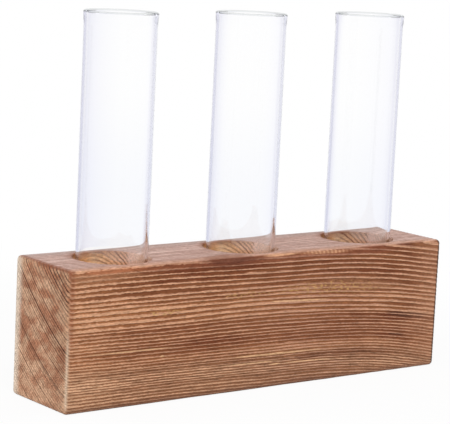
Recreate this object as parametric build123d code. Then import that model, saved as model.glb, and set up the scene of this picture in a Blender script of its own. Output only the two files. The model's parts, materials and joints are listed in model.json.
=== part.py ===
from build123d import *
import os

# A test tube vase: one solid softwood block with a row of blind bores, and a loose glass test tube standing
# upright in each bore. Millimetres. The origin is the middle of the block's underside, X runs along the block,
# the front face looks towards -Y, and +Z is up.

# Glass tubes, each with a round foot and a fire-polished rim.
TUBE_NAMES = ("left", "middle", "right")
TUBE_DIAMETER = 38.0  # outside of the straight wall
TUBE_WALL = 1.6
TUBE_LENGTH = 180.0  # from the lowest point of the foot to the top of the rim
TUBE_SPACING = 84.6  # from one tube's axis to the next
RIM_BEAD = 0.4  # how far the rim swells outwards past the straight wall
RIM_HEIGHT = 3.0  # the stretch below the top in which the wall swells

# Bores, drilled from the top of the block.
BORE_CLEARANCE = 1.65  # radial room between glass and wood
BORE_DEPTH = 52.5
MOUTH_BREAK = 0.5  # bevel that takes the splinters off the mouth
POINT_DIAMETER = 4.0  # mark left in the floor by the drill's centre point
POINT_DEPTH = 2.0
SEAT_GAP = 0.3  # room between the floor and the tube's foot

# Wood left around the bores, which sets the size of the block.
END_WOOD = 21.75  # beyond the first and the last bore
SIDE_WOOD = 5.1  # in front of the bores and behind them
FLOOR_WOOD = 21.5  # under the bores
EDGE_RADIUS = 2.5  # rounding of all twelve edges
EDGE_SHARE = 0.6  # the most of the wood beside a bore's mouth that the rounding may take

tube_radius = TUBE_DIAMETER / 2
bore_radius = tube_radius + BORE_CLEARANCE
row_length = TUBE_SPACING * (len(TUBE_NAMES) - 1)
tube_places = [TUBE_SPACING * i - row_length / 2 for i in range(len(TUBE_NAMES))]

block_length = row_length + 2 * (bore_radius + END_WOOD)
block_depth = 2 * (bore_radius + SIDE_WOOD)
block_height = FLOOR_WOOD + BORE_DEPTH
edge_radius = min(EDGE_RADIUS, EDGE_SHARE * (SIDE_WOOD - MOUTH_BREAK))


def bore_cutter():
    """The space of one bore with its bevelled mouth and the drill's centre mark, its floor at height 0."""
    outline = Polyline(
        (0, -POINT_DEPTH),
        (POINT_DIAMETER / 2, 0),
        (bore_radius, 0),
        (bore_radius, BORE_DEPTH - MOUTH_BREAK),
        (bore_radius + MOUTH_BREAK, BORE_DEPTH),
        (0, BORE_DEPTH),
        close=True,
    )
    return revolve(Plane.XZ * make_face(outline), Axis.Z)


def wooden_block():
    """The block, standing on height 0, with one bore for each tube."""
    stands_on_origin = (Align.CENTER, Align.CENTER, Align.MIN)
    block = Box(block_length, block_depth, block_height, align=stands_on_origin)
    block = fillet(block.edges(), edge_radius)
    for place in tube_places:
        block -= Pos(place, 0, FLOOR_WOOD) * bore_cutter()
    return block


def glass_tube():
    """One tube with its lowest point at height 0: a half sphere, a straight wall and a rounded, swollen rim."""
    inner_radius = tube_radius - TUBE_WALL
    lip_radius = (TUBE_WALL + RIM_BEAD) / 2
    lip_height = TUBE_LENGTH - lip_radius
    foot_centre = (0, tube_radius)
    lip_centre = (inner_radius + lip_radius, lip_height)
    wall_bottom = (tube_radius, tube_radius)
    wall_top = (tube_radius, TUBE_LENGTH - RIM_HEIGHT)
    outline = [
        CenterArc(foot_centre, tube_radius, -90, 90),
        Line(wall_bottom, wall_top),
        Line(wall_top, (tube_radius + RIM_BEAD, lip_height)),
        CenterArc(lip_centre, lip_radius, 0, 180),
        Line((inner_radius, lip_height), (inner_radius, tube_radius)),
        CenterArc(foot_centre, inner_radius, 0, -90),
        Line((0, TUBE_WALL), (0, 0)),
    ]
    return revolve(Plane.XZ * make_face(outline), Axis.Z)


pieces = {"wooden_block": wooden_block()}
for name, place in zip(TUBE_NAMES, tube_places):
    pieces[f"glass_tube_{name}"] = Pos(place, 0, FLOOR_WOOD + SEAT_GAP) * glass_tube()

os.makedirs("parts", exist_ok=True)
for node, piece in pieces.items():
    piece.label = node
    export_step(piece, f"parts/{node}.step")
    box = piece.bounding_box()
    print(node, "volume", round(piece.volume, 1), "from", box.min, "to", box.max)
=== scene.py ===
# %% [markdown]
# # A test tube vase
# The object is a block of softwood with three loose glass test tubes standing in a row of bores. The wood
# was scorched with a flame and then brushed, so its hard growth rings stand up as pale ridges between
# dark, hollow troughs. The CAD model holds the sizes. This script dresses it: one piece of wood and three
# pieces of glass, each modelled where the CAD solid is, so that nothing has to be fitted afterwards.

import json
import math
from itertools import product

import bmesh
import bpy
import numpy as np
from mathutils import Matrix, Quaternion, Vector


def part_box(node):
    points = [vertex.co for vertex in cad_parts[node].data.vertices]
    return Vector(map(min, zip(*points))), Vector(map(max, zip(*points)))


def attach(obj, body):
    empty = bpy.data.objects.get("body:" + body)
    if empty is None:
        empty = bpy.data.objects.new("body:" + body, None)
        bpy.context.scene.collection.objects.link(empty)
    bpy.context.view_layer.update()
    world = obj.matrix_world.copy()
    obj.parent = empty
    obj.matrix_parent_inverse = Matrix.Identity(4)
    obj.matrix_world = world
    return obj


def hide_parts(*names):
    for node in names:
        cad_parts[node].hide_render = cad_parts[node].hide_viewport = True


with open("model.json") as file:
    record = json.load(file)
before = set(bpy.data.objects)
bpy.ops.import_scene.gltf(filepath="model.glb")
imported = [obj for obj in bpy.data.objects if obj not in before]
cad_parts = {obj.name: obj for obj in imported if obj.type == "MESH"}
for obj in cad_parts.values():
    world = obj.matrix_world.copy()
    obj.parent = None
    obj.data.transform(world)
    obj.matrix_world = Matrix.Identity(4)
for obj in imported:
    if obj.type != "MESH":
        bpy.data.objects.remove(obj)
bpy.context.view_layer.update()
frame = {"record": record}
MM = 0.001
block_low, block_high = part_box("wooden_block")
block_size = block_high - block_low
body_of = {node: body for body, nodes in frame["record"]["behaviour"]["bodies"].items() for node in nodes}
tube_nodes = sorted(node for node in body_of if node.startswith("glass_tube_"))
print("block", [round(side / MM, 2) for side in block_size], "mm, tubes", tube_nodes)

# %% [markdown]
# ## Camera
# The picture was taken from the front left, a little above the block, with a long lens and the camera
# tipped slightly to one side. A camera can be placed by eye, but this one was solved from the edges of
# the block and the outlines of the tubes, so its eye, its aim, its roll and its lens are real numbers.

# %% Place the camera
EYE = Vector((-0.6427, -0.8158, 0.2511))
AIM = Vector((-0.0116, 0, 0.0938))
ROLL = math.radians(2.772)
LENS = 154.14

bpy.ops.object.camera_add(location=EYE)
camera = bpy.context.object
camera.rotation_euler = ((AIM - EYE).to_track_quat("-Z", "Y") @ Quaternion((0, 0, 1), ROLL)).to_euler()
camera.data.lens = LENS
bpy.context.scene.camera = camera
print("camera", round((AIM - EYE).length, 3), "m from its aim")

# %% [markdown]
# ## Shader helpers
# A shader is a sheet of nodes. Written node by node it is long and hard to read, so a small class wraps
# an output socket: plain arithmetic on two wrapped sockets adds the Math node. One method makes every
# other kind of node. Colours are written as they look on a screen, from 0 to 255, and are turned into the
# linear numbers of a shader.

# %% Sockets that can be added and multiplied
class Wire:
    """An output socket. Arithmetic on it adds a Math node to its sheet."""

    def __init__(self, sheet, socket):
        self.sheet = sheet
        self.socket = socket

    def math(self, operation, first, second):
        return self.sheet.node("Math", {"operation": operation}, {0: first, 1: second})

    def __add__(self, other):
        return self.math("ADD", self, other)

    def __radd__(self, other):
        return self.math("ADD", other, self)

    def __sub__(self, other):
        return self.math("SUBTRACT", self, other)

    def __rsub__(self, other):
        return self.math("SUBTRACT", other, self)

    def __mul__(self, other):
        return self.math("MULTIPLY", self, other)

    def __rmul__(self, other):
        return self.math("MULTIPLY", other, self)

    def __truediv__(self, other):
        return self.math("DIVIDE", self, other)


# %% A sheet of nodes
class Sheet:
    """The node tree of a material or of the world, empty at first."""

    def __init__(self, owner):
        owner.use_nodes = True
        self.tree = owner.node_tree
        self.tree.nodes.clear()

    def node(self, kind, settings=None, sockets=None, output=0):
        """Adds one node, sets it up, fills or links its inputs, and returns one of its outputs."""
        made = self.tree.nodes.new("ShaderNode" + kind)
        for name, value in (settings or {}).items():
            if name == "stops":
                self.set_stops(made.color_ramp, value)
            else:
                setattr(made, name, value)
        for name, value in (sockets or {}).items():
            if isinstance(value, Wire):
                self.tree.links.new(value.socket, made.inputs[name])
            else:
                made.inputs[name].default_value = value
        return Wire(self, made.outputs[output]) if len(made.outputs) else None

    def set_stops(self, ramp, stops):
        """Gives a colour ramp its stops, each a position and a grey value or a colour."""
        while len(ramp.elements) < len(stops):
            ramp.elements.new(1)
        for element, (position, value) in zip(ramp.elements, stops):
            element.position = position
            element.color = value if isinstance(value, tuple) else (value, value, value, 1)

    def step(self, value, low, high):
        """A soft step: 0 where the value is below low, 1 above high. With low above high it falls instead."""
        settings = {"interpolation_type": "SMOOTHSTEP"}
        if low < high:
            return self.node("MapRange", settings, {0: value, 1: low, 2: high})
        return 1 - self.node("MapRange", settings, {0: value, 1: high, 2: low})

    def blend(self, share, first, second, how="MIX"):
        """One colour mixed into another."""
        settings = {"data_type": "RGBA", "blend_type": how}
        return self.node("Mix", settings, {0: share, 6: first, 7: second}, output=2)


def tint(red, green, blue):
    """A screen colour from 0 to 255 as a shader's linear colour."""
    def linear(value):
        value = value / 255
        return value / 12.92 if value <= 0.04045 else ((value + 0.055) / 1.055) ** 2.4
    return (linear(red), linear(green), linear(blue), 1)


print("a mid grey of 128 is", round(tint(128, 128, 128)[0], 3), "in a shader")

# %% [markdown]
# ## Studio
# The picture is a cut-out on white, lit from all round. So the world is a soft, even light for the wood,
# and plain white for the camera. Clear glass on white shows only by its edges. Photographers draw them
# with surroundings that are brightest straight behind the object: the edges of a tube bend the view
# outwards, to where they are a little dim. A card behind the tubes could do this, but it would stand in
# the way from any other side. So the world itself is shaded by direction, on both sides of the camera's
# heading and overhead, and only rays that were bent or mirrored see that. Far aside and far down it is
# white again, which keeps the tubes clean when the vase is seen from above.

# %% The world
WORLD_LIGHT = 0.55
# Degrees aside from the camera's heading, then a screen value for red and green, then one for blue.
SURROUND_SHADES = (
    (-47, 255, 255), (-41, 222, 236), (-26, 223, 237), (-16, 234, 245), (-8.5, 246, 252), (-3, 255, 255),
    (3, 255, 255), (9, 251, 255), (16.4, 238, 247), (23, 230, 242), (41, 226, 239), (47, 255, 255),
)
SURROUND_REACH = 50
WHITE = (1, 1, 1, 1)
LOW_TINT = (0.955, 0.965, 0.99, 1)
HIGH_TINT = (0.9, 0.9, 0.93, 1)
TINTED_BELOW = (-4.7, -8.5)
WHITE_BELOW = (-10.5, -13)
DIM_ABOVE = (8, 40)
DEGREES = 180 / math.pi
view_heading = Vector((AIM.x - EYE.x, AIM.y - EYE.y, 0)).normalized()
view_side = Vector((view_heading.y, -view_heading.x, 0))

world = bpy.data.worlds.new("studio")
bpy.context.scene.world = world
sky = Sheet(world)


def ray_kinds(sheet, *names):
    """1 for the kinds of ray that are named, 0 for the others."""
    outputs = sheet.node("LightPath").socket.node.outputs
    total = 0
    for name in names:
        total = total + Wire(sheet, outputs[name])
    return total


def lean(towards):
    """How far the ray's direction leans towards a fixed one."""
    return sky.node("VectorMath", {"operation": "DOT_PRODUCT"}, {0: direction, 1: towards}, output="Value")


direction = sky.node("TexCoord", output="Generated")
rise = DEGREES * sky.node("Math", {"operation": "ARCSINE"}, {0: lean(Vector((0, 0, 1)))})
aside = DEGREES * sky.node("Math", {"operation": "ARCTAN2"}, {0: lean(view_side), 1: lean(view_heading)})
shades = [(0.5 + angle / (2 * SURROUND_REACH), tint(warm, warm, blue))
          for angle, warm, blue in SURROUND_SHADES]
glass_sees = sky.node("ValToRGB", {"stops": shades}, {0: 0.5 + aside / (2 * SURROUND_REACH)})
tinted = sky.blend(1.0, glass_sees, LOW_TINT, "MULTIPLY")
glass_sees = sky.blend(sky.step(rise, *TINTED_BELOW), glass_sees, tinted)
glass_sees = sky.blend(sky.step(rise, *WHITE_BELOW), glass_sees, WHITE)
glass_sees = sky.blend(sky.step(rise, *DIM_ABOVE), glass_sees, HIGH_TINT)
plain = sky.node("Background", None, {"Color": WHITE, "Strength": WORLD_LIGHT})
white = sky.node("Background", None, {"Color": WHITE, "Strength": 1.0})
around_glass = sky.node("Background", None, {"Color": glass_sees, "Strength": 1.0})
bent = ray_kinds(sky, "Is Glossy Ray", "Is Transmission Ray")
unseen = sky.node("MixShader", None, {0: bent, 1: plain, 2: around_glass})
surround = sky.node("MixShader", None, {0: ray_kinds(sky, "Is Camera Ray"), 1: unseen, 2: white})
sky.node("OutputWorld", None, {"Surface": surround})
print("world light", WORLD_LIGHT, "shades for glass", len(SURROUND_SHADES))

# %% The floor
FLOOR_RADIUS = 0.42
FLOOR_TINT = tint(244, 244, 244)
FLOOR_WHITE = 0.92
FADE_START = 0.45
FADE_END = 0.98

bpy.ops.object.select_all(action="DESELECT")
bpy.ops.mesh.primitive_circle_add(vertices=96, radius=FLOOR_RADIUS, fill_type="NGON", location=(0, 0, 0))
floor = bpy.context.object
floor.name = "floor"
pale_floor = bpy.data.materials.new("pale_floor")
ground = Sheet(pale_floor)
is_seen = ray_kinds(ground, "Is Camera Ray", "Is Glossy Ray", "Is Transmission Ray")
floor_place = ground.node("TexCoord", output="Object")
from_middle = ground.node("VectorMath", {"operation": "LENGTH"}, {0: floor_place}, output="Value")
fade = ground.step(from_middle, FADE_START * FLOOR_RADIUS, FADE_END * FLOOR_RADIUS)
whiteness = FLOOR_WHITE + (1 - FLOOR_WHITE) * fade
matt = ground.node("BsdfDiffuse", None, {"Color": FLOOR_TINT})
glow = ground.node("Emission", None, {"Color": WHITE, "Strength": 1.0})
floor_surface = ground.node("MixShader", None, {0: whiteness * is_seen, 1: matt, 2: glow})
ground.node("OutputMaterial", None, {"Surface": floor_surface})
floor.data.materials.append(pale_floor)
print("floor", FLOOR_RADIUS, "m in radius")

# %% The lamps
LAMPS = {
    "key": {"place": (-0.75, -0.95, 1.15), "size": 0.9, "power": 14},
    "fill": {"place": (0.9, -0.7, 0.7), "size": 1.0, "power": 2.5},
}
for name, lamp in LAMPS.items():
    bpy.ops.object.light_add(type="AREA", location=lamp["place"])
    light = bpy.context.object
    light.name = name
    light.rotation_euler = (AIM - light.location).to_track_quat("-Z", "Y").to_euler()
    light.data.size = lamp["size"]
    light.data.energy = lamp["power"]
    light.visible_camera = False
    light.visible_glossy = False
    light.visible_transmission = False
bpy.context.scene.view_settings.view_transform = "Standard"
print("lamps", {name: lamp["power"] for name, lamp in LAMPS.items()})

# %% [markdown]
# ## How the tree grew
# Every line on the block is a cut through the same thing: a stack of growth rings round the pith of the
# tree, like nested tubes. The pith ran along the block, outside it, above the front edge, so the rings
# show as long lines on the front, as arcs on the ends and as slanting lines in the bores. One function
# gives the ring number at any point in space, and both the carved relief and the colours read it, so
# every face agrees with its neighbours.

# %% Smooth random numbers
TABLE_SIZE = 4096
# Large primes, which scatter neighbouring cells over the table.
SCATTER = np.array((7919, 104729, 1299709))


def smoothstep(low, high, value):
    """A soft step from 0 to 1 between two values."""
    share = np.clip((value - low) / (high - low), 0, 1)
    return share * share * (3 - 2 * share)


def wander(points, cell, seed):
    """Smooth random numbers from -1 to 1 at the points, changing over cells of the given size in mm."""
    table = np.random.default_rng(seed).uniform(-1, 1, TABLE_SIZE)
    scaled = points / np.array(cell)
    corner = np.floor(scaled).astype(np.int64)
    share = scaled - corner
    share = share * share * (3 - 2 * share)
    total = np.zeros(len(points))
    for offset in product((0, 1), repeat=3):
        weight = np.where(offset, share, 1 - share).prod(axis=1)
        total += weight * table[(corner + offset) @ SCATTER % TABLE_SIZE]
    return total


print("smooth noise at one point", np.round(wander(np.ones((1, 3)), (2, 2, 2), 1), 3))

# %% The growth rings
PITH_Y = -117
PITH_Z = 191
# Distance from the pith and the usual width of a ring there, in mm.
RING_WIDTHS = ((148, 2.2), (162, 2.1), (172, 1.9), (177, 1.55), (185, 1.5), (189, 1.7), (194, 1.3),
               (203, 1.3), (209, 1.5))
FIRST_RING = 124
LAST_RING = 264
YEARS_DIFFER = 0.22
GRAIN_FALL = 5.4
END_FALL = 5.0
END_FALL_START = 30
LOW_FALL = 0.6
half_length = block_size.x / MM / 2
block_top = block_high.z / MM

years = np.random.default_rng(12)
ring_edges = [FIRST_RING]
while ring_edges[-1] < LAST_RING:
    usual = np.interp(ring_edges[-1], *zip(*RING_WIDTHS))
    ring_edges.append(ring_edges[-1] + usual * (1 + YEARS_DIFFER * years.uniform(-1, 1)))
ring_edges = np.array(ring_edges)
ring_names = np.arange(len(ring_edges))


def grain_height(points):
    """The height at which the grain line through each point starts at the left end, in mm."""
    x, _, z = points.T
    along = (x + half_length) / (2 * half_length)
    to_end = np.clip((x - END_FALL_START) / (half_length - END_FALL_START), 0, 1)
    lower = 1 + LOW_FALL * (1 - z / block_top)
    fall = GRAIN_FALL * along ** 2 + END_FALL * lower * to_end ** 2
    return z + fall + 0.7 * wander(points, (75, 30, 22), 3) + 0.15 * wander(points, (26, 9, 7), 4)


def growth_rings(points):
    """The number of rings between the pith and each point, and the usual width of a ring there in mm."""
    y = points[:, 1] + 0.6 * wander(points, (80, 25, 25), 5)
    distance = np.hypot(y - PITH_Y, grain_height(points) - PITH_Z)
    return np.interp(distance, ring_edges, ring_names), np.interp(distance, *zip(*RING_WIDTHS))


print("growth rings in the plank", len(ring_edges))

# %% [markdown]
# ## The block
# A sawn block with softened edges is a cube with a bevel. It needs many rows of points, because the
# brushed ridges are only about 2 mm apart, but few columns, because they run along the block. So its long
# edges are divided by direction: closely in height and depth, and widely along the length.

# %% Selecting by hand, in code
def take(piece):
    """Makes one object the only selected one, and the active one."""
    bpy.ops.object.select_all(action="DESELECT")
    piece.select_set(True)
    bpy.context.view_layer.objects.active = piece


def pick(piece, kind, test):
    """Selects, in edit mode, the verts, edges or faces that pass the test."""
    bpy.ops.mesh.select_mode(type={"verts": "VERT", "edges": "EDGE", "faces": "FACE"}[kind])
    bpy.ops.mesh.select_all(action="DESELECT")
    mesh = bmesh.from_edit_mesh(piece.data)
    for element in getattr(mesh, kind):
        if test(element):
            element.select_set(True)
    bmesh.update_edit_mesh(piece.data)


def runs_along(axis, shortest):
    """A test for edges that lie along one axis and are longer than a given length."""
    def test(edge):
        span = edge.verts[1].co - edge.verts[0].co
        return span.length > shortest and abs(span[axis]) > 0.999 * span.length
    return test


# %% A cube with soft edges
EDGE_RADIUS = 2.5 * MM
EDGE_STEPS = 6

bpy.ops.object.select_all(action="DESELECT")
bpy.ops.mesh.primitive_cube_add(size=1, location=(block_low + block_high) / 2)
block = bpy.context.object
block.name = "scorched_block"
block.scale = block_size
bpy.ops.object.transform_apply(location=True, rotation=True, scale=True)
bpy.ops.object.mode_set(mode="EDIT")
bpy.ops.mesh.select_all(action="SELECT")
bpy.ops.mesh.bevel(offset=EDGE_RADIUS, segments=EDGE_STEPS, affect="EDGES")
print("block with soft edges:", len(bmesh.from_edit_mesh(block.data).faces), "faces")

# %% Rows for the ridges
# For each axis, into how many pieces an edge is cut in a first and a second pass.
DIVISIONS = {0: (4, 11), 2: (15, 16), 1: (8, 10)}
SHORTEST = 3 * MM

for side, passes in DIVISIONS.items():
    for pieces in passes:
        pick(block, "edges", runs_along(side, SHORTEST))
        bpy.ops.mesh.subdivide(number_cuts=pieces - 1)
print("block with rows:", len(bmesh.from_edit_mesh(block.data).faces), "faces")
bpy.ops.object.mode_set(mode="OBJECT")

# %% [markdown]
# ## The bores
# Each bore was drilled from above with a flat-bottomed bit that has a centre point, and its mouth was
# broken with a touch of sandpaper. A cylinder of the bore's size gets the same features: its top is drawn
# out into the bevel and up past the wood, and its bottom is inset in steps and drawn down to the point. A
# boolean then takes it out of the block.

# %% One cutter, then a row of them
BORE_RADIUS = 20.65 * MM
BORE_FLOOR = 21.5 * MM
MOUTH_BREAK = 0.5 * MM
POINT_RADIUS = 2.0 * MM
POINT_DEPTH = 2.0 * MM
BORE_SIDES = 96
BORE_ROWS = 16
FLOOR_STEPS = 3

tube_axes = {node: (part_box(node)[0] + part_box(node)[1]) / 2 for node in tube_nodes}
wall_top = block_high.z - MOUTH_BREAK
wall_height = wall_top - BORE_FLOOR


def faces_towards(z, height):
    """A test for faces that look straight up or down at one height."""
    def test(face):
        return face.normal.z * z > 0.99 and abs(face.calc_center_median().z - height) < 1e-5
    return test


def draw_out(height, scale):
    """Extrudes the selected face straight up or down and then scales it."""
    bpy.ops.mesh.extrude_region_move(TRANSFORM_OT_translate={"value": (0, 0, height)})
    bpy.ops.transform.resize(value=(scale, scale, 1))


def bore_cutter(axis):
    """A solid of the shape that the drill and the sandpaper took away, about one tube's axis."""
    bpy.ops.object.select_all(action="DESELECT")
    middle = (axis.x, axis.y, BORE_FLOOR + wall_height / 2)
    bpy.ops.mesh.primitive_cylinder_add(vertices=BORE_SIDES, radius=BORE_RADIUS, depth=wall_height,
                                        location=middle)
    cutter = bpy.context.object
    bpy.ops.object.transform_apply(location=True, rotation=True, scale=True)
    bpy.ops.object.mode_set(mode="EDIT")
    pick(cutter, "edges", runs_along(2, SHORTEST))
    bpy.ops.mesh.subdivide(number_cuts=BORE_ROWS - 1)
    pick(cutter, "faces", faces_towards(1, wall_top))
    draw_out(MOUTH_BREAK, 1 + MOUTH_BREAK / BORE_RADIUS)
    draw_out(MOUTH_BREAK, 1 + MOUTH_BREAK / (BORE_RADIUS + MOUTH_BREAK))
    pick(cutter, "faces", faces_towards(-1, BORE_FLOOR))
    for _ in range(FLOOR_STEPS):
        bpy.ops.mesh.inset(thickness=(BORE_RADIUS - POINT_RADIUS) / FLOOR_STEPS)
    bpy.ops.mesh.extrude_region_move(TRANSFORM_OT_translate={"value": (0, 0, -POINT_DEPTH)})
    bpy.ops.mesh.merge(type="CENTER")
    bpy.ops.object.mode_set(mode="OBJECT")
    return cutter


cutters = [bore_cutter(axis) for axis in tube_axes.values()]
print("cutter faces", [len(cutter.data.polygons) for cutter in cutters])

# %% Drill the block
take(cutters[0])
for cutter in cutters:
    cutter.select_set(True)
bpy.ops.object.join()
drills = bpy.context.object
take(block)
drilling = block.modifiers.new("bores", "BOOLEAN")
drilling.object = drills
drilling.operation = "DIFFERENCE"
drilling.solver = "EXACT"
bpy.ops.object.modifier_apply(modifier=drilling.name)
bpy.data.objects.remove(drills)
print("drilled block:", len(block.data.polygons), "faces")

# %% [markdown]
# ## The brushed relief
# A wire brush takes away the soft early wood of each year and leaves the hard late wood standing. So
# every point of the block is sunk by an amount that depends on where it lies between two rings: nothing
# on a ridge, most just past it. Points are only ever sunk, so the block keeps its measured size. The
# bores weren't brushed and stay smooth.

# %% What the wood is at each point
count = len(block.data.vertices)
points = np.empty(count * 3)
block.data.vertices.foreach_get("co", points)
points = points.reshape(-1, 3) / MM
normals = np.empty(count * 3)
block.data.vertex_normals.foreach_get("vector", normals)
normals = normals.reshape(-1, 3)

centres = np.array([(axis.x, axis.y) for axis in tube_axes.values()]) / MM
distances = np.array([np.hypot(*(points[:, :2] - centre).T) for centre in centres])
from_axis = distances.min(axis=0)
mouth_reach = (BORE_RADIUS + 0.9 * MOUTH_BREAK) / MM
drilled_above = (BORE_FLOOR - 2 * POINT_DEPTH) / MM
in_bore = (from_axis < mouth_reach) & (points[:, 2] > drilled_above)
on_top = (points[:, 2] > block_top - 0.01) & ~in_bore
normals[on_top] = (0, 0, 1)
ring, ring_width = growth_rings(points)
end_grain = np.where(in_bore, 0, smoothstep(0.35, 0.95, np.abs(normals[:, 0])))
top_face = np.where(in_bore, 0, smoothstep(0.75, 0.97, normals[:, 2]))
print("points in the bores", int(in_bore.sum()), "of", count)

# %% Sink the soft wood
RELIEF = 0.12
END_RELIEF = 0.03
TOP_RELIEF = 0.06

part_of_ring = ring % 1
ridge = smoothstep(0.1, 0.7, part_of_ring) * (1 - smoothstep(0.86, 1.0, part_of_ring))
upward = np.clip(normals[:, 2], 0, 1) ** 2
share = RELIEF + (TOP_RELIEF - RELIEF) * upward
share = share + (END_RELIEF - share) * end_grain
patchy = 0.85 + 0.3 * wander(points, (35, 12, 6), 11)
sunk = np.where(in_bore, 0, share * ring_width * (1 - ridge) * patchy)
points_sunk = (points - normals * sunk[:, None]) * MM
block.data.vertices.foreach_set("co", points_sunk.ravel())
block.data.update()
print("deepest trough", round(float(sunk.max()), 2), "mm")

# %% Keep what the shader has to know
SCORCHED_FROM = np.array((-0.45, 0.9))
BURN_REACH = 3

rounding = np.clip((1 - np.abs(normals).max(axis=1)) / (1 - math.sqrt(0.5)), 0, 1)
nearest = centres[distances.argmin(axis=0)]
outwards = (points[:, :2] - nearest) / np.maximum(from_axis, 1e-6)[:, None]
from_wall = np.abs(from_axis - BORE_RADIUS / MM)
below_mouth = np.clip(block_top - points[:, 2], 0, None)
at_mouth = 1 - smoothstep(0, BURN_REACH, from_wall + below_mouth)
mouth_burn = at_mouth * smoothstep(-0.2, 0.9, outwards @ SCORCHED_FROM)
facts = {"ring": ring, "grain_height": grain_height(points), "end_grain": end_grain, "top_face": top_face,
         "bore_wall": in_bore, "rounding": np.where(in_bore, 0, rounding), "mouth_burn": mouth_burn,
         "along_bore": outwards[:, 0]}
for name, values in facts.items():
    attribute = block.data.attributes.new(name, "FLOAT", "POINT")
    attribute.data.foreach_set("value", values.astype(np.float32))
print("facts per point", list(facts))

# %% Crisp bore mouths, soft everything else
WALL_NEAR = 0.02
MOUTH_NEAR = 0.05
RIM_DROP = 0.4


def at_mouth_edge(edge):
    """A test for the edges where a bore's bevel meets its wall and the top, and for the rim of its floor."""
    ends = []
    for vert in edge.verts:
        reach = min(math.hypot(vert.co.x - axis.x, vert.co.y - axis.y) for axis in tube_axes.values())
        ends.append((round(reach / MM, 2), round(vert.co.z / MM, 1)))
    wall_radius = round(BORE_RADIUS / MM, 2)
    mouth_radius = round((BORE_RADIUS + MOUTH_BREAK) / MM, 2)
    on_wall = all(abs(reach - wall_radius) < WALL_NEAR for reach, z in ends)
    is_level = abs(ends[0][1] - ends[1][1]) < MOUTH_NEAR
    crisp_heights = (round(wall_top / MM, 1), round(BORE_FLOOR / MM, 1))
    near_mouth = all(abs(reach - mouth_radius) < MOUTH_NEAR for reach, z in ends)
    on_mouth = near_mouth and all(z > block_top - RIM_DROP for reach, z in ends)
    return on_mouth or (on_wall and is_level and ends[0][1] in crisp_heights)


take(block)
bpy.ops.object.shade_smooth()
bpy.ops.object.mode_set(mode="EDIT")
pick(block, "edges", at_mouth_edge)
bpy.ops.mesh.mark_sharp()
bpy.ops.object.mode_set(mode="OBJECT")
block.data.calc_loop_triangles()
print("block triangles", len(block.data.loop_triangles))

# %% [markdown]
# ## The look of scorched wood
# A flame browns the soft early wood far more than the hard late wood, so the troughs are dark and the
# ridges pale. It was passed over by hand, so some bands are scorched more than others, a few spots are
# nearly charred, and the left end was left lighter. The shader reads the ring number for the lines, and
# noise that is stretched along the grain for everything that a flame and a brush leave to chance. The
# lines could be a wave texture, but then the end, the front and the bores wouldn't show the same tree.

# %% The wood's colours
TROUGH_BURNT = tint(104, 55, 32)
TROUGH_PALE = tint(150, 99, 65)
TROUGH_LOW_BURNT = tint(112, 72, 50)
TROUGH_LOW_PALE = tint(142, 100, 72)
CREST_BURNT = tint(192, 143, 117)
CREST_PALE = tint(204, 155, 124)
CREST_LOW_BURNT = tint(190, 146, 118)
CREST_LOW_PALE = tint(208, 166, 136)
RING_SHADOW = tint(100, 54, 34)
CHAR = tint(66, 42, 34)
GOLD = tint(192, 153, 98)
CALM = tint(154, 108, 80)
CREST_RIGHT = (0.85, 0.84, 0.92, 1)
RIGHT_END = tint(172, 124, 98)
RIDGE_HIGHLIGHT = tint(226, 184, 152)
STREAK_HIGHLIGHT = tint(222, 182, 142)

scorched_wood = bpy.data.materials.new("scorched_wood")
wood = Sheet(scorched_wood)
wood_place = wood.node("TexCoord", output="Object")
along_x, across_y, up_z = [wood.node("SeparateXYZ", None, {0: wood_place}, output=name) for name in "XYZ"]


def stored(name):
    """One of the facts that the block's points hold."""
    return wood.node("Attribute", {"attribute_name": name}, output="Fac")


# %% Noise and marks that follow the grain
along_grain = wood.node("CombineXYZ", None, {0: along_x, 1: across_y, 2: stored("grain_height") * MM})
from_left = along_x / MM + half_length
right_end = 2 * half_length
across_mm = across_y / MM
height_mm = up_z / MM
below_top = block_top - stored("grain_height")


def figure(size, detail=2.0, seed=0.0, turn=(0, 0, 0)):
    """Noise about 0 whose patches have the given size in mm along the grain, across it and in height."""
    scale = [side * MM for side in size]
    sockets = {"Vector": along_grain, "Location": (seed, seed, seed), "Rotation": turn, "Scale": scale}
    moved = wood.node("Mapping", {"vector_type": "TEXTURE"}, sockets)
    return wood.node("TexNoise", None, {"Vector": moved, "Scale": 1.0, "Detail": detail}) - 0.5


MARK_DEPTH = 12
ragged = 0.9 * figure((7, 4, 1.3), 2.0, 5.0)


def mark(x, below, length, height):
    """A soft, ragged oval on the front, placed from the left end and from the top edge, in mm."""
    middle = np.array([[x - half_length, block_low.y / MM, block_top - below]])
    centre = (middle[0, 0] * MM, block_low.y, grain_height(middle)[0] * MM)
    scale = [side * MM for side in (length / 2, MARK_DEPTH, height / 2)]
    sockets = {"Vector": along_grain, "Location": centre, "Scale": scale}
    moved = wood.node("Mapping", {"vector_type": "TEXTURE"}, sockets)
    reach = wood.node("VectorMath", {"operation": "LENGTH"}, {0: moved}, output="Value")
    return wood.step(reach + ragged, 1.0, 0.35)


def all_marks(marks):
    """Several marks added up."""
    total = 0
    for x, below, length, height in marks:
        total = mark(x, below, length, height) + total
    return total


# %% Where the ring lies
# The ridges are chipped more towards the left end.
chipped = 0.12 + 0.26 * wood.step(from_left, 150, 20)
ring_number = stored("ring") + 0.22 * figure((14, 3, 3)) + chipped * figure((1.9, 0.9, 0.8), 1.0)
in_ring = wood.node("Math", {"operation": "FRACT"}, {0: ring_number})
ring_name = wood.node("Math", {"operation": "FLOOR"}, {0: ring_number})
ring_tone = wood.node("TexWhiteNoise", {"noise_dimensions": "1D"}, {"W": ring_name})
print("nodes for the rings", len(wood.tree.nodes))

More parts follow.
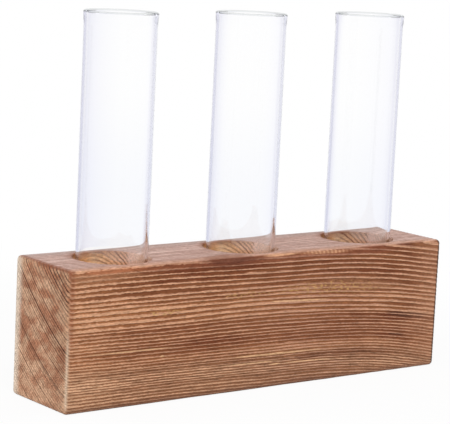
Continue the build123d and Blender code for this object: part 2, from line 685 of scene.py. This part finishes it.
# %% How burnt the wood is
# Share of the height below the top edge, and how burnt the front is there.
SCORCH_BY_DEPTH = ((0.0, 0.75), (0.05, 0.78), (0.10, 0.66), (0.20, 0.6), (0.25, 0.56), (0.32, 0.5),
                   (0.40, 0.42), (0.44, 0.7), (0.50, 0.72), (0.62, 0.68), (0.70, 0.55), (0.78, 0.55),
                   (0.88, 0.45), (0.97, 0.7))
# Each mark: millimetres from the left end and below the top edge, its length and height, and its strength.
SCORCH_MARKS = ((95, 6, 80, 14, 0.35), (205, 12, 60, 14, 0.1), (95, 45, 60, 10, 0.25), (222, 42, 26, 7, 0.5),
                (218, 53, 30, 4, 0.3), (160, 59, 30, 4, 0.5), (235, 36, 40, 12, 0.25), (195, 61, 70, 9, 0.35),
                (200, 42, 60, 9, 0.2), (176, 22, 36, 9, 0.25))
PALE_MARKS = ((30, 25, 60, 16, 0.3), (60, 24, 26, 6, 0.2), (120, 26, 60, 6, 0.25), (150, 22, 50, 9, 0.3),
              (138, 34, 120, 9, 0.22), (150, 53, 110, 10, 0.35), (212, 55, 40, 6, 0.25),
              (20, 62, 50, 16, 0.1))

burnt = wood.node("ValToRGB", {"stops": SCORCH_BY_DEPTH}, {0: below_top / block_top})
burnt = burnt + 0.7 * figure((60, 9, 5), 3.0) + 0.4 * figure((14, 4, 2.5), 2.0, 3.0)
burnt = burnt + 0.25 * (ring_tone - 0.5)
for x, below, length, height, strength in SCORCH_MARKS:
    burnt = burnt + strength * mark(x, below, length, height)
for x, below, length, height, strength in PALE_MARKS:
    burnt = burnt - strength * mark(x, below, length, height)
left_fade = wood.step(from_left, 45, 0)
right_fade = wood.step(from_left, right_end - 22, right_end - 3)
burnt = wood.node("Clamp", None, {0: burnt - 0.4 * left_fade - 0.2 * right_fade})
print("scorch marks", len(SCORCH_MARKS), "pale marks", len(PALE_MARKS))

# %% Long grain
# These marks have places and sizes as above, without a strength.
CHAR_MARKS = ((232, 42, 46, 4), (224, 52.5, 16, 2))
HIGHLIGHT_STREAKS = ((136, 55.3, 78, 1.5), (40, 44.5, 70, 1.0), (59, 49, 3, 1.5), (135, 61, 9, 1.1),
           (150, 27, 50, 1.2), (122, 59, 50, 0.9), (160, 61.5, 60, 0.9))
GOLD_MARKS = ((172, 21.5, 96, 9), (112, 21, 40, 5), (60, 26, 30, 4))
CALM_MARKS = ((185, 21, 110, 10), (18, 4, 70, 9))

# Where the wood is more burnt, the dark trough is wider and the pale crest starts later in the ring.
crest_start = 0.28 + 0.34 * burnt + 0.4 * figure((13, 2, 2), 1.0, 7.0)
crest_rise = {0: in_ring, 1: crest_start, 2: crest_start + 0.22}
rising = wood.node("MapRange", {"interpolation_type": "SMOOTHSTEP"}, crest_rise)
on_crest = rising * wood.step(in_ring, 1.0, 0.94)
on_crest = on_crest * (1 - 0.45 * ring_tone * wood.step(below_top, 20, 45))
low_grain = 0.85 * wood.step(below_top, 49, 57)
char = all_marks(CHAR_MARKS)
trough = wood.blend(burnt, TROUGH_PALE, TROUGH_BURNT)
trough = wood.blend(low_grain, trough, wood.blend(burnt, TROUGH_LOW_PALE, TROUGH_LOW_BURNT))
trough = wood.blend(0.7 * char, trough, CHAR)
crest = wood.blend(burnt, CREST_PALE, CREST_BURNT)
crest = wood.blend(low_grain, crest, wood.blend(burnt, CREST_LOW_PALE, CREST_LOW_BURNT))
less_pale = wood.step(from_left, 80, 160) * (1 - 0.65 * wood.step(from_left, 165, 215))
crest = wood.blend(less_pale, crest, wood.blend(1.0, crest, CREST_RIGHT, "MULTIPLY"))
# A painted highlight along the top of each crest.
ridge_highlight = wood.step(in_ring, 0.7, 0.86) * wood.step(in_ring, 1.0, 0.93)
crest = wood.blend(0.35 * ridge_highlight, crest, RIDGE_HIGHLIGHT)
long_grain = wood.blend(on_crest, trough, crest)
# Each ring opens with a thin dark line: a painted shadow under the ridge of the ring before.
long_grain = wood.blend((0.6 - 0.3 * low_grain) * wood.step(in_ring, 0.16, 0.0), long_grain, RING_SHADOW)

gold = all_marks(GOLD_MARKS)
calm = all_marks(CALM_MARKS)
long_grain = wood.blend(0.55 * calm, long_grain, CALM)
worn_right = wood.step(from_left + 30 * figure((40, 8, 8), 2.0, 20.0), 224, 250)
long_grain = wood.blend(0.25 * worn_right, long_grain, RIGHT_END)
# Golden flecks: golden wood, with painted glints.
glint_speckle = wood.step(figure((2.4, 1.2, 0.9), 2.0, 8.0), 0.0, 0.13)
long_grain = wood.blend(0.75 * gold * glint_speckle, long_grain, GOLD)
# Pale streaks along the grain: painted highlights.
highlight_streak = all_marks(HIGHLIGHT_STREAKS)
long_grain = wood.blend(0.7 * highlight_streak, long_grain, STREAK_HIGHLIGHT)
print("char, streak and gold marks", len(CHAR_MARKS), len(HIGHLIGHT_STREAKS), len(GOLD_MARKS))

# %% End grain
END_PALE = tint(214, 174, 146)
END_RED = tint(180, 126, 98)
END_DARK = tint(62, 27, 13)
END_BOLD = tint(70, 36, 20)
END_WORN = tint(236, 221, 207)
END_FRONT = (0.84, 0.82, 0.8, 1)
# Distance from the pith in mm, and strength.
BOLD_RINGS = ((159.5, 0.4), (163.6, 0.5), (167.2, 0.4), (184.1, 1.2), (186.2, 0.3), (204.4, 0.6),
              (214.7, 0.4))

end_ring = stored("ring") + 0.1 * figure((14, 3, 3))
in_end_ring = wood.node("Math", {"operation": "FRACT"}, {0: end_ring})
end_ring_name = wood.node("Math", {"operation": "FLOOR"}, {0: end_ring})
end_tone = wood.node("TexWhiteNoise", {"noise_dimensions": "1D"}, {"W": end_ring_name})
end_blotch = wood.step(figure((20, 10, 6), 3.0, 9.0), -0.12, 0.12)
saw_marks = figure((30, 5, 0.8), 1.0, 10.0, (math.radians(48), 0, 0))
end_base = wood.blend(end_blotch, END_RED, END_PALE)
late_wood = wood.step(in_end_ring, 0.5, 0.8) * wood.step(in_end_ring, 1.0, 0.93)
end_colour = wood.blend(late_wood * (1.0 - 0.2 * end_blotch) * (0.25 + 0.95 * end_tone), end_base, END_DARK)
bold = 0
for distance, strength in BOLD_RINGS:
    off_ring = end_ring - float(np.interp(distance, ring_edges, ring_names))
    off_ring = wood.node("Math", {"operation": "ABSOLUTE"}, {0: off_ring})
    bold = strength * wood.step(off_ring, 0.25 + 0.2 * strength, 0.12) + bold
end_colour = wood.blend(0.85 * bold, end_colour, END_BOLD)
end_front = wood.blend(1.0, end_colour, END_FRONT, "MULTIPLY")
end_colour = wood.blend(wood.step(across_mm, -4, -20), end_colour, end_front)
# The end is paler near its foot, and worn bare along its back edge.
low_end = wood.step(height_mm, 26, 4)
end_colour = wood.blend(0.3 * low_end, end_colour, END_PALE)
at_back = wood.step(across_mm + 2.5 * figure((20, 12, 12), 2.0, 11.0), 17, 23)
end_colour = wood.blend(0.9 * at_back, end_colour, END_WORN)
rays = figure((30, 4, 0.7), 1.0, 27.0, (math.radians(-48), 0, 0))
scratch = wood.blend(1.4 * saw_marks + 1.0 * rays + 0.5, (0.66, 0.63, 0.6, 1), (1.3, 1.3, 1.3, 1))
end_colour = wood.blend(1.0, end_colour, scratch, "MULTIPLY")
print("bold rings", len(BOLD_RINGS))

# %% Top
# The top's pale, greyish colours hold sanded wood and a painted sheen of the light that grazes it from above.
TOP_PALE = tint(223, 194, 187)
TOP_DARK = tint(180, 145, 136)
TOP_BACK = tint(178, 160, 158)
TOP_BURNT = tint(156, 110, 92)
TOP_FRONT = tint(202, 152, 126)

top_streak = wood.step(figure((60, 2.2, 4), 3.0, 12.0) + 0.25 * (on_crest - 0.5), -0.16, 0.16)
top_colour = wood.blend(top_streak, TOP_DARK, TOP_PALE)
top_colour = wood.blend(0.8 * wood.step(figure((26, 5, 6), 3.0, 13.0), 0.12, 0.3), top_colour, TOP_BURNT)
near_front = wood.step(across_mm + 6 * figure((30, 6, 6), 2.0, 18.0), -17, -24)
top_colour = wood.blend(0.6 * near_front, top_colour, TOP_FRONT)
thin_line = wood.step(figure((110, 1.5, 4), 2.0, 26.0), 0.08, 0.2)
top_colour = wood.blend(0.5 * thin_line, top_colour, TOP_BURNT)
near_back = wood.step(across_mm + 8 * figure((40, 6, 6), 3.0, 21.0), 10, 24)
top_colour = wood.blend(0.65 * near_back, top_colour, TOP_BACK)
singed = 0.8 * mark(100, 0, 44, 16) + 0.8 * wood.step(from_left + 2 * figure((5, 5, 5), 2.0, 22.0), 4.2, 1.6)
top_colour = wood.blend(singed, top_colour, TOP_BURNT)
top_colour = wood.blend(0.8 * stored("mouth_burn"), top_colour, TOP_BURNT)
print("nodes with the top", len(wood.tree.nodes))

# %% Bore walls
# How far to the right of its axis the wall lies, from -1 to 1, and its colour there.
# The whole wall is painted lighter, and most at -0.8 and from 0.84 on: painted light where the narrow bore is
# in shade.
BORE_WALL_LIGHTENED = ((-0.8, tint(232, 200, 178)), (-0.6, tint(214, 160, 110)), (-0.2, tint(226, 172, 116)),
             (0.1, tint(240, 206, 168)), (0.5, tint(234, 190, 152)), (0.84, tint(228, 182, 152)),
             (0.9, tint(236, 200, 186)), (1.0, tint(238, 204, 190)))
BORE_STRIPE = tint(118, 66, 42)
# Share of the block's length, and the stain of the bore there.
BORES_DIFFER = ((0.17, (0.97, 0.94, 0.92, 1)), (0.5, (0.98, 1, 1, 1)), (0.83, (0.8, 0.78, 0.8, 1)))
BORE_BURNT = tint(128, 74, 52)

along_bore = stored("along_bore")
bore_stops = [((turned + 1) / 2, shade) for turned, shade in BORE_WALL_LIGHTENED]
bore_base = wood.node("ValToRGB", {"stops": bore_stops}, {0: (along_bore + 1) / 2})
bore_stripe = wood.step(in_ring, 0.4, 0.68) * wood.step(in_ring, 1.0, 0.84) * (0.4 + 0.6 * ring_tone)
striped = wood.step(along_bore, -0.2, 0.3) * wood.step(along_bore, 0.9, 0.86)
bore_colour = wood.blend(bore_stripe * (0.15 + 0.85 * striped), bore_base, BORE_STRIPE)
bore_colour = wood.blend(0.8 * stored("mouth_burn"), bore_colour, BORE_BURNT)
stained = wood.node("ValToRGB", {"stops": BORES_DIFFER}, {0: from_left / right_end})
bore_colour = wood.blend(1.0, bore_colour, stained, "MULTIPLY")
print("nodes with the bores", len(wood.tree.nodes))

# %% Worn and scorched edges
EDGE_WORN = tint(222, 205, 186)
EDGE_CHAR_AND_SHADE = tint(62, 44, 38)
EDGE_RED = tint(130, 76, 56)
EDGE_BRIGHT = tint(220, 170, 136)
EDGE_DEEP = tint(104, 58, 42)
EDGE_ORANGE = tint(184, 112, 80)
FOOT_DARK = tint(112, 76, 60)
CHATTER = 2.8

top_edge = wood.step(height_mm, block_top - 4.8, block_top - 3.8)
top_edge = top_edge * wood.step(from_left, 38, 58) * wood.step(from_left, 236, 205)
patchy_edge = 0.7 + 0.9 * figure((12, 6, 1.6), 3.0, 14.0)
long_grain = wood.blend(0.8 * top_edge * wood.node("Clamp", None, {0: patchy_edge}), long_grain, EDGE_RED)
long_grain = wood.blend(0.4 * mark(28, 1.5, 62, 4), long_grain, EDGE_ORANGE)
long_grain = wood.blend(0.9 * mark(102, 1, 52, 11) + 0.8 * mark(225, 0.5, 18, 4), long_grain, EDGE_DEEP)
# Part of the top edge has short, even marks, as from a tool that chattered.
chatter = wood.node("Math", {"operation": "SINE"}, {0: from_left * (2 * math.pi / CHATTER)})
bright_edge = mark(134, 0.5, 34, 2.6) + mark(166, 1.0, 46, 3.2) * (0.4 + 0.5 * wood.step(chatter, -0.4, 0.6))
long_grain = wood.blend(0.8 * bright_edge, long_grain, EDGE_BRIGHT)
ragged_height = height_mm + 12 * figure((5, 5, 9), 2.0, 23.0)
corner_burn = wood.step(from_left, 4.5, 2.6) * wood.step(ragged_height, 26, 46)
long_grain = wood.blend(0.4 * corner_burn, long_grain, EDGE_RED)
foot = wood.step(height_mm + 4 * figure((11, 6, 3), 3.0, 16.0), 4.2, 2.0)
long_grain = wood.blend(0.45 * foot, long_grain, FOOT_DARK)
print("nodes with the edges", len(wood.tree.nodes))

# %% All faces together
WOOD_SHEEN = 0.2
BUMP_DEPTH = 0.3 * MM
BUMP_STRENGTH = 0.35

colour = wood.blend(stored("top_face"), long_grain, top_colour)
colour = wood.blend(stored("end_grain"), colour, end_colour)
upright = wood.step(height_mm, 0.5, 6) * wood.step(height_mm, block_top - 0.5, block_top - 6)
kept_from = height_mm + 10 * figure((5, 5, 9), 2.0, 24.0)
kept_corner = wood.step(across_mm, 0, -5) * wood.step(kept_from, 28, 50)
left_edges = stored("rounding") * wood.step(from_left, 5, 3)
worn = left_edges * upright * (1 - kept_corner)
singed_edge = left_edges * wood.step(height_mm, block_top - 6, block_top - 3)
singed_edge = singed_edge * wood.step(across_mm + 14 * figure((5, 5, 5), 2.0, 25.0), 14, -6)
# The right end's edge faces away from the light and is painted dark: painted shade, together with charring.
charred_and_shaded = wood.step(from_left + 1.5 * figure((9, 9, 7), 2.0, 19.0), right_end - 3, right_end - 1.6)
colour = wood.blend(0.65 * worn, colour, EDGE_WORN)
colour = wood.blend(0.8 * singed_edge, colour, EDGE_RED)
colour = wood.blend(0.85 * charred_and_shaded, colour, EDGE_CHAR_AND_SHADE)
colour = wood.blend(stored("bore_wall"), colour, bore_colour)
fibre = figure((6, 0.9, 0.9), 2.0, 1.0) + figure((1.8, 0.6, 0.6), 1.0, 2.0)
brushed = figure((9, 1.5, 0.6), 1.0, 17.0, (0, math.radians(4.5), 0))
brushed = brushed * wood.step(below_top, 52, 57) * wood.step(below_top, 68, 62)
fleck = wood.blend(fibre + 1.6 * brushed + 0.5, (0.6, 0.56, 0.5, 1), (1.4, 1.37, 1.31, 1))
colour = wood.blend(1.0, colour, fleck, "MULTIPLY")
relief = on_crest + 0.6 * fibre
bump = wood.node("Bump", None, {"Strength": BUMP_STRENGTH, "Distance": BUMP_DEPTH, "Height": relief})
finish = {"Base Color": colour, "Roughness": 0.75 - 0.2 * on_crest, "Normal": bump,
          "Specular IOR Level": WOOD_SHEEN}
wood.node("OutputMaterial", None, {"Surface": wood.node("BsdfPrincipled", None, finish)})
block.data.materials.clear()
block.data.materials.append(scorched_wood)
print("wood nodes", len(scorched_wood.node_tree.nodes))

# %% [markdown]
# ## The test tubes
# A test tube is drawn glass tube, closed to a round foot in a flame and fire-polished at the rim, where
# the softened glass gathers into a small bead. A sphere gives the foot: its upper half goes, the open
# edge is drawn up into the wall, Solidify gives the glass its thickness, and the rim is swollen and
# rounded.

# %% One tube
TUBE_SIDES = 128
FOOT_RINGS = 64
LIP_STEPS = 5
LIP_HEIGHT = 1.0 * MM
SWELL_HEIGHT = 8.0 * MM
SWELL_STEPS = 8
HOLDING_ROW = 1.0 * MM

first_low, first_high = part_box(tube_nodes[0])
mouth = next(mount for mount in frame["record"]["mounts"] if mount["kind"] == "bore")
inner_radius = mouth["dims"]["r_mm"] * MM
foot_centre = mouth["pos_m"][2] - mouth["dims"]["length_mm"] * MM
tube_radius = foot_centre - first_low.z
rim_radius = (first_high.x - first_low.x) / 2
wall = tube_radius - inner_radius
print("tube", round(2 * tube_radius / MM, 2), "mm across, wall", round(wall / MM, 2), "mm")


def at_height(z):
    """A test for edges that lie at one height."""
    def test(edge):
        return all(abs(vert.co.z - z) < 1e-6 for vert in edge.verts)
    return test


first_axis = tube_axes[tube_nodes[0]]
bpy.ops.object.select_all(action="DESELECT")
bpy.ops.mesh.primitive_uv_sphere_add(segments=TUBE_SIDES, ring_count=FOOT_RINGS, radius=tube_radius,
                                     location=(first_axis.x, first_axis.y, foot_centre))
tube = bpy.context.object
tube.name = "test_tube"
bpy.ops.object.transform_apply(location=True, rotation=True, scale=True)
bpy.ops.object.mode_set(mode="EDIT")
pick(tube, "faces", lambda face: face.calc_center_median().z > foot_centre)
bpy.ops.mesh.delete(type="FACE")
pick(tube, "edges", at_height(foot_centre))
straight = first_high.z - SWELL_HEIGHT - foot_centre
swell_row = (SWELL_HEIGHT - LIP_HEIGHT) / SWELL_STEPS
wall_rows = [HOLDING_ROW, straight - 2 * HOLDING_ROW, HOLDING_ROW] + SWELL_STEPS * [swell_row] + [LIP_HEIGHT]
for rise_by in wall_rows:
    bpy.ops.mesh.extrude_region_move(TRANSFORM_OT_translate={"value": (0, 0, rise_by)})
bpy.ops.object.mode_set(mode="OBJECT")
take(tube)
thicken = tube.modifiers.new("wall", "SOLIDIFY")
thicken.thickness = wall
thicken.offset = -1
thicken.use_even_offset = True
bpy.ops.object.modifier_apply(modifier=thicken.name)
print("tube faces", len(tube.data.polygons))

# %% The fire-polished rim
LIP_SHARE_OF_WALL = 0.48


def from_first_axis(vert):
    """The distance of a point from the axis of the tube that is modelled."""
    return math.hypot(vert.co.x - first_axis.x, vert.co.y - first_axis.y)


def outer_row(z):
    """A test for the outer wall's points at one height."""
    def test(vert):
        return abs(vert.co.z - z) < 1e-6 and from_first_axis(vert) > tube_radius - wall / 2
    return test


bpy.ops.object.mode_set(mode="EDIT")
swell = rim_radius / tube_radius - 1
for step in range(1, SWELL_STEPS + 1):
    pick(tube, "verts", outer_row(first_high.z - SWELL_HEIGHT + step * swell_row))
    grow = 1 + swell * float(smoothstep(0, SWELL_STEPS, step))
    bpy.ops.transform.resize(value=(grow, grow, 1))
pick(tube, "verts", outer_row(first_high.z))
bpy.ops.transform.resize(value=(1 + swell, 1 + swell, 1))
pick(tube, "edges", at_height(first_high.z))
mesh = bmesh.from_edit_mesh(tube.data)
for edge in mesh.edges:
    if edge.select:
        reach = [from_first_axis(vert) for vert in edge.verts]
        if abs(reach[0] - reach[1]) > wall / 2:
            edge.select = False
bmesh.update_edit_mesh(tube.data)
lip_offset = LIP_SHARE_OF_WALL * (rim_radius - inner_radius)
bpy.ops.mesh.bevel(offset=lip_offset, segments=LIP_STEPS, affect="EDGES")
bpy.ops.mesh.select_all(action="SELECT")
bpy.ops.mesh.remove_doubles(threshold=1e-7)
bpy.ops.mesh.normals_make_consistent(inside=False)
bpy.ops.object.mode_set(mode="OBJECT")
bpy.ops.object.shade_smooth()
print("tube with its rim:", len(tube.data.polygons), "faces")

# %% [markdown]
# ## The look of clear glass
# Clear glass has no colour of its own. It shows by what it bends and mirrors, by a faint tint where the
# view runs a long way inside the wall, and by fine lines left from drawing the tube. A glass shader with
# a slight ripple and an absorbing volume gives all three. The lip bends light so sharply that a small
# picture breaks it into dots, so there a thin see-through grey takes over from most of the glass and
# draws the soft line of a real rim.

# %% The glass
STRIA_SIZE = (2.2 * MM, 2.2 * MM, 90 * MM)
STRIA_DEPTH = 0.01 * MM
STRIA_STRENGTH = 0.1
LIP_GREY = tint(245, 246, 246)
LIP_SHARE = 0.93
LIP_FADE = (1.3 * MM, 0.7 * MM)
GLASS_IOR = 1.5
GLASS_TINT = (0.78, 0.79, 0.9, 1)
GLASS_DENSITY = 8.0

clear_glass = bpy.data.materials.new("clear_glass")
glass = Sheet(clear_glass)
glass_place = glass.node("TexCoord", output="Object")
glass_height = glass.node("SeparateXYZ", None, {0: glass_place}, output="Z")
lip = glass.step(glass_height, *[first_high.z - below for below in LIP_FADE])
drawn = glass.node("Mapping", {"vector_type": "TEXTURE"}, {"Vector": glass_place, "Scale": STRIA_SIZE})
striae = glass.node("TexNoise", None, {"Vector": drawn, "Scale": 1.0, "Detail": 1.0})
ripple = glass.node("Bump", None, {"Strength": STRIA_STRENGTH, "Distance": STRIA_DEPTH, "Height": striae})
clear = glass.node("BsdfPrincipled", None, {"Base Color": WHITE, "Roughness": 0.0, "IOR": GLASS_IOR,
                                            "Transmission Weight": 1.0, "Normal": ripple})
veil = glass.node("BsdfTransparent", None, {"Color": LIP_GREY})
rimmed = glass.node("MixShader", None, {0: LIP_SHARE * lip, 1: clear, 2: veil})
soak = glass.node("VolumeAbsorption", None, {"Color": GLASS_TINT, "Density": GLASS_DENSITY})
glass.node("OutputMaterial", None, {"Surface": rimmed, "Volume": soak})
tube.data.materials.clear()
tube.data.materials.append(clear_glass)
print("glass nodes", len(clear_glass.node_tree.nodes))

# %% Three tubes in the row
tubes = {}
for node, place_in_row in tube_axes.items():
    copy = tube.copy()
    copy.data = tube.data.copy()
    copy.data.transform(Matrix.Translation((place_in_row.x - first_axis.x, 0, 0)))
    copy.name = node.replace("glass_tube", "test_tube")
    bpy.context.scene.collection.objects.link(copy)
    copy.visible_shadow = False
    copy.visible_diffuse = False
    tubes[node] = copy
bpy.data.objects.remove(tube)
print("tubes", [piece.name for piece in tubes.values()])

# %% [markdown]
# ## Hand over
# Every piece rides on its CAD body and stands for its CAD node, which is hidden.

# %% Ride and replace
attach(block, body_of["wooden_block"])
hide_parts("wooden_block")
for node, piece in tubes.items():
    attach(piece, body_of[node])
    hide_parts(node)
